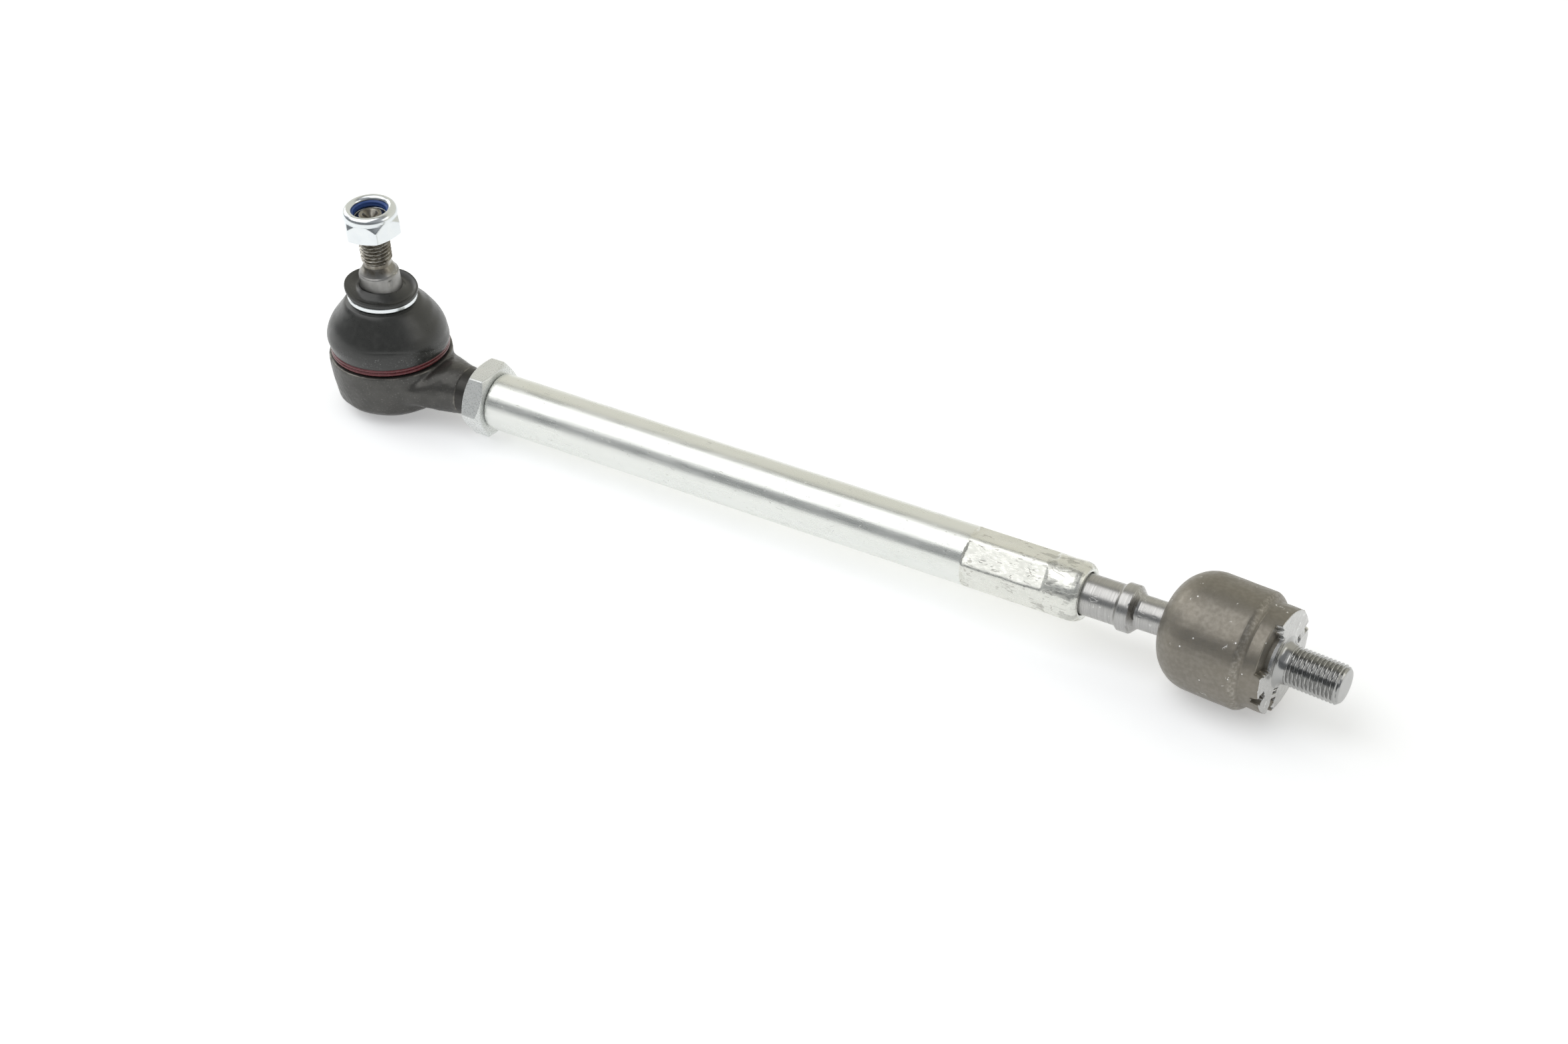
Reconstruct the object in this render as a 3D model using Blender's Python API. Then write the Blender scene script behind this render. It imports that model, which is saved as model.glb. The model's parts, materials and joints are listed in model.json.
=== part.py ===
"""Steering tie rod: outer ball joint, lock nut, adjuster tube, inner rod and inner ball joint.

+X runs along the rod from the outer joint to the inner joint, +Z points along the outer
housing's axis, and the origin is the centre of the closing plate under the outer ball.
Sizes are in millimetres and are turned into metres where the meshes are made.
"""
import math

import bmesh
import bpy
from mathutils import Matrix, Vector

MM = 0.001
GAP = 0.3                 # clearance kept between pieces that touch

# Where the axes are
ROD_Z = 12.0              # height of the rod's axis over the closing plate
OUTER_BALL_Z = 14.5       # height of the outer ball's centre
STUD_LEAN = 4.0           # the stud leans towards -Y, degrees
INNER_BALL_X = 296.0      # distance of the inner ball's centre
INNER_SIDE = 4.2          # the inner housing points towards -Y, degrees
INNER_DROP = 0.8          # and slightly down, degrees

# Outer joint
OUTER_BALL_R = 9.5
STUD_NECK_R = 5.4
SHANK_R = 6.9
THREAD_R = 5.0            # M10 x 1.25
STUD_TOP = 56.4           # from the ball's centre
RIM_R = 20.1              # widest part of the forged housing
RIM_Z = 19.2
BOOT_SEAT_R = 16.6
SHELL_R = 11.8
PLATE_R = 11.8
SHELL_BORE = 7.2

# Nut on the stud: 17 mm across flats
NUT_FLATS = 17.0
NUT_LOW = 49.7
NUT_TOP = 58.4
CROWN_R = 8.4
NUT_TURN = 15.0           # one corner of the hexagon, degrees from local +X

# Threaded shank, lock nut and adjuster tube
SHANK_THREAD_R = 7.0      # M14 x 1.5
STUB_R = 7.8
STUB_END = 35.0
SHANK_END = 82.0
LOCK_FLATS = 22.0
LOCK_X = (35.4, 42.4)
LOCK_TURN = 124.0         # one corner, degrees from +Y towards +Z
TUBE_R = 9.23
TUBE_X = (43.4, 251.2)
TUBE_BORE = 7.3
TUBE_GRIP = 6.6           # bore round the inner rod
WRENCH_X = (213.5, 241.1)
WRENCH_FLATS = 16.72
WRENCH_TURN = 138.5       # centre of one flat, degrees from +Y towards +Z

# Inner rod
ROD_R = 6.3
ROD_START = 216.0
COLLAR_R = 7.32
NECK_R = 5.17
INNER_BALL_R = 10.5

# Inner joint, along its own axis from the ball's centre
CUP_R = 18.0
CUP_FRONT = -18.5
CUP_MOUTH = 10.5
SHELL_IN = 10.75
SHELL_OUT = 12.75
CAVITY_R = 13.05
FLANGE_R = 15.8
FLANGE_END = 16.75
INNER_THREAD_R = 6.0      # M12 x 1.25
INNER_END = 35.9
POCKET_R = 8.6
POCKET_END = 14.2


def clear_scene():
    for item in list(bpy.data.objects):
        bpy.data.objects.remove(item, do_unlink=True)


def make_material(name, colour, roughness, metallic):
    material = bpy.data.materials.new(name)
    material.use_nodes = True
    shader = material.node_tree.nodes["Principled BSDF"]
    shader.inputs["Base Color"].default_value = (*colour, 1.0)
    shader.inputs["Roughness"].default_value = roughness
    shader.inputs["Metallic"].default_value = metallic
    return material


def make_empty(name, location, matrix=None):
    """An axis frame: its local +Z is the axis that its pieces turn about."""
    empty = bpy.data.objects.new(name, None)
    bpy.context.collection.objects.link(empty)
    turn = matrix if matrix is not None else Matrix.Identity(4)
    empty.matrix_world = Matrix.Translation(Vector(location) * MM) @ turn
    return empty


def arc(centre, radius, start, end, steps):
    """Points (r, z) on a circle, from start to end degrees, measured from +r towards +z."""
    points = []
    for i in range(steps + 1):
        angle = math.radians(start + (end - start) * i / steps)
        points.append((centre[0] + radius * math.cos(angle), centre[1] + radius * math.sin(angle)))
    return points


def finish_mesh(name, bm, material, parent):
    bmesh.ops.remove_doubles(bm, verts=bm.verts, dist=1e-7)
    bmesh.ops.recalc_face_normals(bm, faces=bm.faces)
    mesh = bpy.data.meshes.new(name)
    bm.to_mesh(mesh)
    bm.free()
    mesh.shade_smooth()
    mesh.set_sharp_from_angle(angle=math.radians(35))
    piece = bpy.data.objects.new(name, mesh)
    bpy.context.collection.objects.link(piece)
    if material is not None:
        mesh.materials.append(material)
    piece.parent = parent
    return piece


def ring_points(radius, height, count):
    step = 2 * math.pi / count
    return [Vector((radius * math.cos(i * step), radius * math.sin(i * step), height)) * MM
            for i in range(count)]


def revolve(name, outline, count, material=None, parent=None, place=None):
    """Turn a closed outline of (r, z) points about local +Z; place may move each ring."""
    bm = bmesh.new()
    rings = []
    for radius, height in outline:
        points = ring_points(radius, height, count) if radius > 0 else [Vector((0, 0, height)) * MM]
        if place is not None:
            points = [place(point, height) for point in points]
        rings.append([bm.verts.new(point) for point in points])
    for low, high in zip(rings, rings[1:] + rings[:1]):
        for i in range(count):
            j = (i + 1) % count
            corners = [low[i % len(low)], low[j % len(low)]]
            corners += [high[j % len(high)], high[i % len(high)]]
            unique = list(dict.fromkeys(corners))
            if len(unique) > 2:
                bm.faces.new(unique)
    return finish_mesh(name, bm, material, parent)


def prism(name, corners, low, high, parent):
    """A guide or cutter: a polygon of (x, y) corners extruded along local +Z."""
    bm = bmesh.new()
    rings = [[bm.verts.new(Vector((x, y, z)) * MM) for x, y in corners] for z in (low, high)]
    count = len(corners)
    bm.faces.new(list(reversed(rings[0])))
    bm.faces.new(rings[1])
    for i in range(count):
        j = (i + 1) % count
        bm.faces.new((rings[0][i], rings[0][j], rings[1][j], rings[1][i]))
    return finish_mesh(name, bm, None, parent)


def hide_cutter(cutter):
    cutter.hide_render = True
    cutter.display_type = "WIRE"


def boolean(piece, other, operation):
    modifier = piece.modifiers.new(operation.lower(), "BOOLEAN")
    modifier.operation = operation
    modifier.object = other
    hide_cutter(other)


def hexagon(across_flats, turn):
    """Six corners (x, y), the first one at turn degrees."""
    return arc((0, 0), across_flats / math.sqrt(3), turn, turn + 300, 5)


def sector(radius_in, radius_out, start, end, steps=6):
    """Corners of a curved slot seen along its axis."""
    inside = arc((0, 0), radius_in, end, start, steps)
    return arc((0, 0), radius_out, start, end, steps) + inside


def outer_housing(frame, rod_frame, material):
    """Forged socket with its shank, open at both ends for the ball seat and the stud."""
    crimp = 0.8
    bore = SHELL_R + GAP
    lip_in = 10.3
    body = [(10.5, 0), (11.7, 0), (13.4, 1.2), (17.2, 3.7), (18.2, 5.0), (RIM_R, 17.8)]
    body += [(RIM_R, RIM_Z - 0.3), (RIM_R - 0.4, RIM_Z), (BOOT_SEAT_R, RIM_Z)]
    body += [(BOOT_SEAT_R, 22.5), (BOOT_SEAT_R - 0.5, 23.0)]
    body += [(lip_in, 23.0), (lip_in, RIM_Z), (bore, RIM_Z), (bore, crimp), (10.5, crimp)]
    housing = revolve("outer_housing", body, 40, material, frame)

    def flatten(point, height):
        share = min(1.0, max(0.0, (height - 16.0) / 12.0))
        keep = 0.43 + 0.57 * share * share * (3 - 2 * share)
        return Vector((point.x * keep, point.y, point.z))

    shank = [(0, 14.5), (15.2, 14.5), (14.4, 17.8), (12.6, 20.8), (10.6, 23.2), (8.9, 25.8)]
    shank += [(STUB_R, 28.8), (STUB_R, STUB_END), (SHANK_THREAD_R, STUB_END)]
    shank += [(SHANK_THREAD_R, SHANK_END - 1.5)]
    shank += [(SHANK_THREAD_R - 1.2, SHANK_END), (0, SHANK_END)]
    boolean(housing, revolve("shank_guide", shank, 28, None, rod_frame, flatten), "UNION")
    return housing


def outer_joint_inside(frame, metal, plastic, steel):
    """Bearing shell, thrust pad, preload spring and closing plate under the ball."""
    seat = OUTER_BALL_R + 0.25
    centre = (0, OUTER_BALL_Z)
    low_angle = -math.degrees(math.acos(SHELL_BORE / seat))
    shell = [(SHELL_BORE, 2.6)] + arc(centre, seat, low_angle, 26.5, 5)
    shell += [(SHELL_R, centre[1] + seat * math.sin(math.radians(26.5))), (SHELL_R, 2.6)]
    revolve("bearing_shell", shell, 24, plastic, frame)
    pad_r = SHELL_BORE - GAP
    pad = arc(centre, seat, -90, -math.degrees(math.acos(pad_r / seat)), 5) + [(pad_r, 3.8), (0, 3.8)]
    revolve("thrust_pad", pad, 20, plastic, frame)
    revolve("preload_spring", [(2.2, 3.1), (6.4, 2.5), (6.4, 2.9), (2.2, 3.5)], 20, steel, frame)
    plate = [(0, 0), (10.2, 0), (10.2, 1.1), (PLATE_R, 1.1), (PLATE_R, 2.2), (0, 2.2)]
    revolve("closing_plate", plate, 32, metal, frame)


def ball_stud(frame, material):
    """Ball, neck, plain shank, undercut and thread, in the ball's own frame."""
    neck_angle = math.degrees(math.acos(STUD_NECK_R / OUTER_BALL_R))
    stud = arc((0, 0), OUTER_BALL_R, -90, neck_angle, 9)
    stud += [(STUD_NECK_R, 12.0), (SHANK_R, 20.0), (SHANK_R, 25.0), (6.75, 28.3), (6.2, 34.6)]
    stud += [(5.9, 35.6), (4.7, 37.6), (4.35, 38.0), (4.35, 39.3), (THREAD_R, 39.9)]
    stud += [(THREAD_R, STUD_TOP - 1.2)]
    stud += [(3.4, STUD_TOP), (2.6, STUD_TOP), (0, STUD_TOP - 2.4)]
    revolve("ball_stud", stud, 28, material, frame)


def dust_boot(frame, material):
    """Rubber boot: its foot follows the housing and its lip follows the stud."""
    foot, top = 10.0, 23.0

    def lean(point, height):
        share = min(1.0, max(0.0, (height - foot) / (top - foot)))
        return Matrix.Rotation(math.radians(STUD_LEAN) * share, 3, "X") @ point

    outside = [(17.7, 5.05), (17.7, 7.9), (19.2, 8.1), (19.45, 9.7), (19.5, 12.0), (18.65, 15.5)]
    outside += [(16.4, 19.6), (13.9, 22.6), (12.3, 23.9), (10.0, 24.2), (10.0, 26.9)]
    lip = [(11.4, 27.9), (11.75, 28.7), (11.2, 29.1), (9.4, 28.3), (SHANK_R + GAP, 28.7)]
    inside = [(SHANK_R + GAP, 24.4), (9.4, 22.6), (12.4, 20.6), (14.8, 17.8), (16.7, 14.4)]
    inside += [(17.3, 11.5), (17.2, 9.6), (BOOT_SEAT_R + GAP, 8.6), (BOOT_SEAT_R + GAP, 5.05)]
    revolve("dust_boot", outside + lip + inside, 36, material, frame, lean)


def boot_rings(ball_frame, frame, zinc, red):
    neck = [(10.3, 24.5), (11.25, 24.5), (11.25, 26.5), (10.3, 26.5)]
    revolve("boot_neck_ring", neck, 36, zinc, frame)
    low = 20.1 - OUTER_BALL_Z
    wire = 1.05
    rings = [(18.0, low)] + arc((18.7, low + wire / 2), wire / 2, -70, 70, 3)
    rings += arc((18.7, low + wire * 1.5), wire / 2, -70, 70, 3) + [(18.0, low + 2 * wire)]
    revolve("boot_base_ring", rings, 40, red, ball_frame)


def nyloc_nut(frame, zinc, nylon):
    """Hexagon with a round crown that holds the nylon insert."""
    corner = NUT_FLATS / math.sqrt(3)
    hex_top = 55.8
    nut = [(THREAD_R + GAP, NUT_LOW), (8.3, NUT_LOW), (corner + 0.02, NUT_LOW + 0.85)]
    nut += [(corner + 0.02, 54.4), (8.55, hex_top), (CROWN_R, hex_top), (CROWN_R, 57.0)]
    nut += [(8.0, 57.9), (7.1, NUT_TOP), (6.3, NUT_TOP), (5.85, 58.1), (5.85, 57.7), (7.6, 57.7)]
    nut += [(7.6, 55.5), (THREAD_R + GAP, 55.5)]
    piece = revolve("nyloc_nut", nut, 36, zinc, frame)
    corners = hexagon(NUT_FLATS, NUT_TURN)
    boolean(piece, prism("nut_hex", corners, NUT_LOW - 1, NUT_TOP + 1, frame), "INTERSECT")
    insert = [(5.3, 55.8), (7.3, 55.8), (7.3, 57.4), (5.6, 57.4), (5.3, 57.1)]
    revolve("nylon_insert", insert, 28, nylon, frame)


def lock_nut(frame, zinc):
    low, high = LOCK_X
    corner = LOCK_FLATS / math.sqrt(3)
    bore = SHANK_THREAD_R + GAP
    nut = [(bore + 0.7, low), (10.6, low), (corner + 0.02, low + 1.1), (corner + 0.02, high - 1.1)]
    nut += [(10.6, high), (bore + 0.7, high), (bore, high - 0.7), (bore, low + 0.7)]
    piece = revolve("lock_nut", nut, 36, zinc, frame)
    corners = hexagon(LOCK_FLATS, LOCK_TURN + 90)
    boolean(piece, prism("lock_hex", corners, low - 1, high + 1, frame), "INTERSECT")


def adjuster_tube(frame, zinc):
    """Tube threaded on the shank; six wrench flats are pressed in near the rod."""
    low, high = TUBE_X
    tube = [(TUBE_BORE + 0.5, low), (TUBE_R - 0.4, low), (TUBE_R, low + 0.5), (TUBE_R, high - 2.4)]
    tube += [(TUBE_R - 0.5, high - 0.8), (TUBE_R - 1.6, high), (TUBE_GRIP + 0.4, high)]
    tube += [(TUBE_GRIP, high - 0.4), (TUBE_GRIP, 206.0), (TUBE_BORE, 204.0), (TUBE_BORE, low + 0.5)]
    piece = revolve("adjuster_tube", tube, 40, zinc, frame)
    half = WRENCH_FLATS / 2
    for i in range(6):
        turn = math.radians(90 + WRENCH_TURN + 60 * i)
        out = Vector((math.cos(turn), math.sin(turn)))
        side = Vector((-out.y, out.x)) * 7.0
        corners = [out * half - side, out * 12 - side, out * 12 + side, out * half + side]
        cutter = prism(f"flat_cutter_{i}", [tuple(c) for c in corners], *WRENCH_X, frame)
        boolean(piece, cutter, "DIFFERENCE")


def inner_rod(frame, material):
    """Rod fixed in the tube, with its collar, neck and ball."""
    ball = (0, INNER_BALL_X)
    neck_angle = -math.degrees(math.acos(NECK_R / INNER_BALL_R))
    rod = [(0, ROD_START), (ROD_R - 0.8, ROD_START), (ROD_R, ROD_START + 0.8), (ROD_R, 261.9)]
    rod += [(6.55, 262.5), (COLLAR_R, 263.1), (COLLAR_R, 266.3)]
    rod += [(NECK_R + 0.25, 268.1), (NECK_R, 268.6)]
    rod += arc(ball, INNER_BALL_R, neck_angle, 90, 9)
    revolve("inner_rod", rod, 28, material, frame)


def inner_shells(rod_ball_frame, frame, plastic, steel):
    """Front bearing shell and floating thrust pad round the ball, and the washer behind."""
    front = arc((0, 0), SHELL_IN, -43, 15, 5) + arc((0, 0), SHELL_OUT, 15, -43, 5)
    revolve("inner_bearing_shell", front, 24, plastic, frame)
    pad = arc((0, 0), SHELL_IN, 90, 40, 6) + arc((0, 0), SHELL_OUT, 40, 90, 6)
    revolve("inner_thrust_pad", pad, 20, plastic, rod_ball_frame)
    washer = [(3, 13.05), (8.3, 13.5), (8.3, 13.9), (3, 13.45)]
    revolve("inner_preload_washer", washer, 20, steel, frame)


def inner_housing(frame, material):
    """Cup closed round the ball, its notched flange and the stud that screws into the rack."""
    cup = [(CUP_MOUTH, CUP_FRONT)] + arc((6.2, -7.2), 11.8, -66, 0, 6)
    cup += [(CUP_R, 7.2), (17.7, 8.4), (16.7, 10.6), (16.0, 11.3), (FLANGE_R, 12.0)]
    cup += [(FLANGE_R, FLANGE_END - 0.3), (FLANGE_R - 0.3, FLANGE_END), (8.4, FLANGE_END)]
    cup += [(6.9, 17.3), (6.2, 18.3), (INNER_THREAD_R, 19.2), (INNER_THREAD_R, INNER_END - 1.2)]
    cup += [(5.05, INNER_END), (0, INNER_END), (0, POCKET_END), (POCKET_R, POCKET_END)]
    rear = math.degrees(math.acos(POCKET_R / CAVITY_R))
    cup += arc((0, 0), CAVITY_R, rear, -45, 7)
    cup += [(CUP_MOUTH - 0.6, -12.0)]
    housing = revolve("inner_housing", cup, 40, material, frame)
    notches = [(9.6, 104, 166, 3.0), (12.4, -168, -155, 2.4)]
    notches += [(11.2, -121, -104, 2.2), (12.8, 8, 20, 2.2)]
    for i, (inside, start, end, depth) in enumerate(notches):
        corners = [(-z, y) for y, z in sector(inside, FLANGE_R + 2, start, end)]
        cutter = prism(f"notch_cutter_{i}", corners, FLANGE_END - depth, FLANGE_END + 1, frame)
        boolean(housing, cutter, "DIFFERENCE")


def build():
    clear_scene()
    forged = make_material("forged_black", (0.07, 0.065, 0.06), 0.5, 0.8)
    brown = make_material("forged_brown", (0.16, 0.14, 0.12), 0.5, 0.8)
    zinc = make_material("zinc_plate", (0.75, 0.76, 0.75), 0.3, 1.0)
    steel = make_material("bare_steel", (0.35, 0.34, 0.32), 0.35, 1.0)
    turned = make_material("turned_steel", (0.45, 0.45, 0.45), 0.3, 1.0)
    rubber = make_material("boot_rubber", (0.045, 0.05, 0.045), 0.5, 0.0)
    plastic = make_material("bearing_plastic", (0.85, 0.84, 0.8), 0.45, 0.0)
    nylon = make_material("blue_nylon", (0.05, 0.1, 0.42), 0.4, 0.0)
    red = make_material("red_ring", (0.25, 0.04, 0.05), 0.35, 0.0)

    along_x = Matrix.Rotation(math.radians(90), 4, "Y")
    base = make_empty("housing_axis", (0, 0, 0))
    ball = make_empty("outer_ball_centre", (0, 0, OUTER_BALL_Z))
    lean = Matrix.Rotation(math.radians(STUD_LEAN), 4, "X")
    stud = make_empty("stud_axis", (0, 0, OUTER_BALL_Z), lean)
    rod = make_empty("rod_axis", (0, 0, ROD_Z), along_x)
    inner_centre = (INNER_BALL_X, 0, ROD_Z)
    rod_ball = make_empty("inner_ball_centre", inner_centre, along_x)
    side, drop = math.radians(INNER_SIDE), math.radians(INNER_DROP)
    turn = Matrix.Rotation(-side, 4, "Z") @ Matrix.Rotation(drop, 4, "Y") @ along_x
    inner = make_empty("inner_axis", inner_centre, turn)
    bpy.context.view_layer.update()

    outer_housing(base, rod, forged)
    outer_joint_inside(base, zinc, plastic, steel)
    ball_stud(stud, steel)
    dust_boot(ball, rubber)
    boot_rings(ball, stud, zinc, red)
    nyloc_nut(stud, zinc, nylon)
    lock_nut(rod, zinc)
    adjuster_tube(rod, zinc)
    inner_rod(rod, turned)
    inner_shells(rod_ball, inner, plastic, steel)
    inner_housing(inner, brown)


build()
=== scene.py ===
"""Looks of the steering tie rod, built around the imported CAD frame.

Turned parts are grids of rows (an outline of radius and height) and columns (angles) in the
frame of their own joint, whose local +Z is the joint's axis. Sizes are in millimetres and
become metres where the meshes are made. Azimuths are degrees from local +X towards local +Y.
"""
import json
import math

import bmesh
import bpy
import numpy as np
from mathutils import Matrix, Vector


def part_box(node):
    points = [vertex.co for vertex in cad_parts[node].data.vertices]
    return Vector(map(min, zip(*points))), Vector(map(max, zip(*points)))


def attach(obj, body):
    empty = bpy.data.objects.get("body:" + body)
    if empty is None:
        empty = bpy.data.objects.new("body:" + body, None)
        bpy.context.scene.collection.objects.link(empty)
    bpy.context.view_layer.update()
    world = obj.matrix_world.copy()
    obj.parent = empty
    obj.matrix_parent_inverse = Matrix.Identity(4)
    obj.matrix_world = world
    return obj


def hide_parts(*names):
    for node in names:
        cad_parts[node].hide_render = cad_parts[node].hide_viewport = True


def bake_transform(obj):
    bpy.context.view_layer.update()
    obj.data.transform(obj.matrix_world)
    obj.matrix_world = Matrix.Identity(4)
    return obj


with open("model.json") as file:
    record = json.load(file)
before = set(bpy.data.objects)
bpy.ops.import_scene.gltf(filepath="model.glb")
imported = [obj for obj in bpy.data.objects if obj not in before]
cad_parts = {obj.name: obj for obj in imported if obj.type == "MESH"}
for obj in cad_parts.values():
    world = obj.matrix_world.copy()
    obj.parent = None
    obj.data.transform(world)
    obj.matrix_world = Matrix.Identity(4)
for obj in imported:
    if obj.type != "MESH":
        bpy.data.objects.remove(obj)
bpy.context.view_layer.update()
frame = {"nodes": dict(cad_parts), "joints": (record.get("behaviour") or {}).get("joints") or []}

MM = 0.001
TURN = 2 * math.pi
ON_AXIS = 1e-6
GROOVE_DEPTH = 0.61  # as a share of the pitch
JOINTS = {joint["name"]: joint for joint in frame["joints"]}

# Sizes shared with the CAD model; both azimuths of the rod's hexagons are in the rod's frame
STUD_LEAN = 4.0
BALL_R = 9.5
SHANK_R = 6.9
STUD_THREAD_R = 5.0
STUD_PITCH = 1.25
STUD_TOP = 56.4
RIM_R = 20.1
RIM_Z = 19.2
NUT_FLATS = 17.0
NUT_LOW = 49.7
NUT_CORNER = 15.0
LOCK_FLATS = 22.0
LOCK_CORNER = 214.0
ROD_THREAD_R = 7.0
ROD_PITCH = 1.5
STUB_R = 7.8
STUB_END = 35.0
THREAD_END = 82.0
TUBE_R = 9.23
WRENCH_X = (213.5, 241.1)
WRENCH_FLATS = 16.72
WRENCH_CENTRE = 228.5
ROD_R = 6.3
COLLAR_R = 7.32
NECK_R = 5.17
INNER_BALL_X = 296.0
INNER_BALL_R = 10.5
CUP_R = 18.0
FLANGE_R = 15.8
FLANGE_LOW = 12.0
FLANGE_END = 16.75
INNER_THREAD_R = 6.0
INNER_PITCH = 1.25
INNER_END = 35.9

# Sizes of the looks only
BRUISE_LIMIT = 0.03
NUT_CHAMFER = 53.95
NUT_CROWN = 56.1
NUT_CROWN_R = 8.8
ARM_END = 30.4
TUBE_GAP = 0.12
TUBE_SKIN_R = 7.7
WIRE = 1.22
WIRE_R = 18.72

# Azimuths round the outer joint: the side towards the camera, and the right side in its picture
FRONT = -59.6
RIGHT = 30.4


# ---------------------------------------------------------------- outlines and shapes

def smooth(value):
    """0 below 0, 1 above 1 and a soft step between."""
    t = np.clip(value, 0.0, 1.0)
    return t * t * (3 - 2 * t)


def wave(azimuth, centre, times=1):
    """Cosine round the axis with its top at the azimuth called centre, in degrees."""
    return np.cos(times * (azimuth - math.radians(centre)))


def arc(centre, radius, start, end, steps=10):
    """Points on a circle between two angles in degrees."""
    angles = np.radians(np.linspace(start, end, steps + 1))
    return [(centre[0] + radius * math.cos(a), centre[1] + radius * math.sin(a)) for a in angles]


def curve(points, steps=6):
    """A smooth curve through the points (Catmull-Rom)."""
    p = np.array(points, float)
    p = np.vstack([2 * p[0] - p[1], p, 2 * p[-1] - p[-2]])
    result = []
    for a, b, c, d in zip(p, p[1:], p[2:], p[3:]):
        for t in np.arange(steps) / steps:
            cubic = (-a + 3 * b - 3 * c + d) * t ** 3 + (2 * a - 5 * b + 4 * c - d) * t ** 2
            result.append(tuple(0.5 * (cubic + (c - a) * t + 2 * b)))
    return result + [tuple(points[-1])]


def rounded(points, radius=0.25, steps=4):
    """A closed outline with each corner turned into a short curve; poles on the axis stay."""
    result = []
    count = len(points)
    for i, here in enumerate(points):
        before, here, after = (np.array(points[k % count], float) for k in (i - 1, i, i + 1))
        back, ahead = before - here, after - here
        lengths = np.linalg.norm(back), np.linalg.norm(ahead)
        if here[0] < ON_AXIS or min(lengths) < ON_AXIS:
            result.append(tuple(here))
            continue
        cut = min(radius, 0.42 * lengths[0], 0.42 * lengths[1])
        start, end = here + back / lengths[0] * cut, here + ahead / lengths[1] * cut
        for t in np.linspace(0, 1, steps + 1):
            result.append(tuple((1 - t) ** 2 * start + 2 * t * (1 - t) * here + t * t * end))
    return result


def fine(points, step, zones=()):
    """A closed outline with points added so that no stretch is longer than step.

    zones holds (low, high, step) for heights that need their own step.
    """
    result = []
    for i, start in enumerate(points):
        start, end = np.array(start, float), np.array(points[(i + 1) % len(points)], float)
        here = step
        for low, high, zone_step in zones:
            if max(start[1], end[1]) > low and min(start[1], end[1]) < high:
                here = min(here, zone_step)
        count = max(1, math.ceil(np.linalg.norm(end - start) / here))
        result += [tuple(start + (end - start) * k / count) for k in range(count)]
    return result


def lumps(x, y, z, size, seed):
    """Soft irregular noise between about -1 and 1, made of sines with seeded directions."""
    draw = np.random.default_rng(seed)
    total = 0.0
    for _ in range(7):
        direction = draw.normal(size=3)
        direction *= TURN / (size * draw.uniform(0.7, 1.6) * np.linalg.norm(direction))
        along = direction[0] * x + direction[1] * y + direction[2] * z
        total = total + np.sin(along + draw.uniform(0, TURN))
    return total / 3.5


def hexagon(flats, corner, sharpness=75):
    """Cuts a turned shape with six planes; the power sum leaves slightly rounded edges."""
    centres = [math.radians(corner + 30 + 60 * k) for k in range(6)]

    def cut(r, z, a):
        total = 1.0
        for centre in centres:
            total = total + (r * np.maximum(np.cos(a - centre), 0) * 2 / flats) ** sharpness
        return r * total ** (-1 / sharpness), z
    return cut


def thread(low, high, crest, pitch, fade=1.2):
    """Cuts a right-handed V groove between the heights low and high."""
    depth = GROOVE_DEPTH * pitch

    def cut(r, z, a):
        phase = (z / pitch - a / TURN) % 1.0
        groove = np.clip(1.3 * (1 - np.abs(2 * phase - 1)) - 0.17, 0, 1)
        reach = smooth((z - low) / fade) * smooth((high - z) / fade * 3)
        cut_here = (z > low) & (z < high) & (r > crest - depth - 0.4)
        return np.where(cut_here, np.minimum(r, crest - depth * groove * reach), r), z
    return cut


# ---------------------------------------------------------------- meshes

def joint_frame(name):
    """The joint's place, with local +Z on its axis and local +Y as near world +Y as can be."""
    along = Vector(JOINTS[name]["axis"]).normalized()
    side = (Vector((0, 1, 0)) - along * along.y).normalized()
    matrix = Matrix((side.cross(along), side, along)).transposed().to_4x4()
    matrix.translation = Vector(JOINTS[name]["pos_m"])
    return matrix


def linked(name, data, place=None):
    """A new object in the scene."""
    made = bpy.data.objects.new(name, data)
    bpy.context.scene.collection.objects.link(made)
    if place is not None:
        made.matrix_world = place
    return made


HOUSING = Matrix()
BALL = Matrix.Translation(Vector(JOINTS["outer_tilt"]["pos_m"]))
STUD = joint_frame("outer_spin")
ROD = joint_frame("tube_turn")
ROD.translation.x = 0.0
INNER = joint_frame("inner_spin")


def new_object(name, verts, faces, place, materials, face_slots=None, sharp=38):
    """A shaded object from points in millimetres, with its faces made to point outwards."""
    bm = bmesh.new()
    points = [bm.verts.new(v) for v in verts * MM]
    for k, face in enumerate(faces):
        made = bm.faces.new([points[i] for i in face])
        if face_slots is not None:
            made.material_index = int(face_slots[k])
    bmesh.ops.remove_doubles(bm, verts=bm.verts, dist=2e-7)
    bmesh.ops.recalc_face_normals(bm, faces=bm.faces)
    mesh = bpy.data.meshes.new(name)
    bm.to_mesh(mesh)
    bm.free()
    mesh.shade_smooth()
    mesh.set_sharp_from_angle(angle=math.radians(sharp))
    for material in materials:
        mesh.materials.append(material)
    return linked(name, mesh, place)


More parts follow.
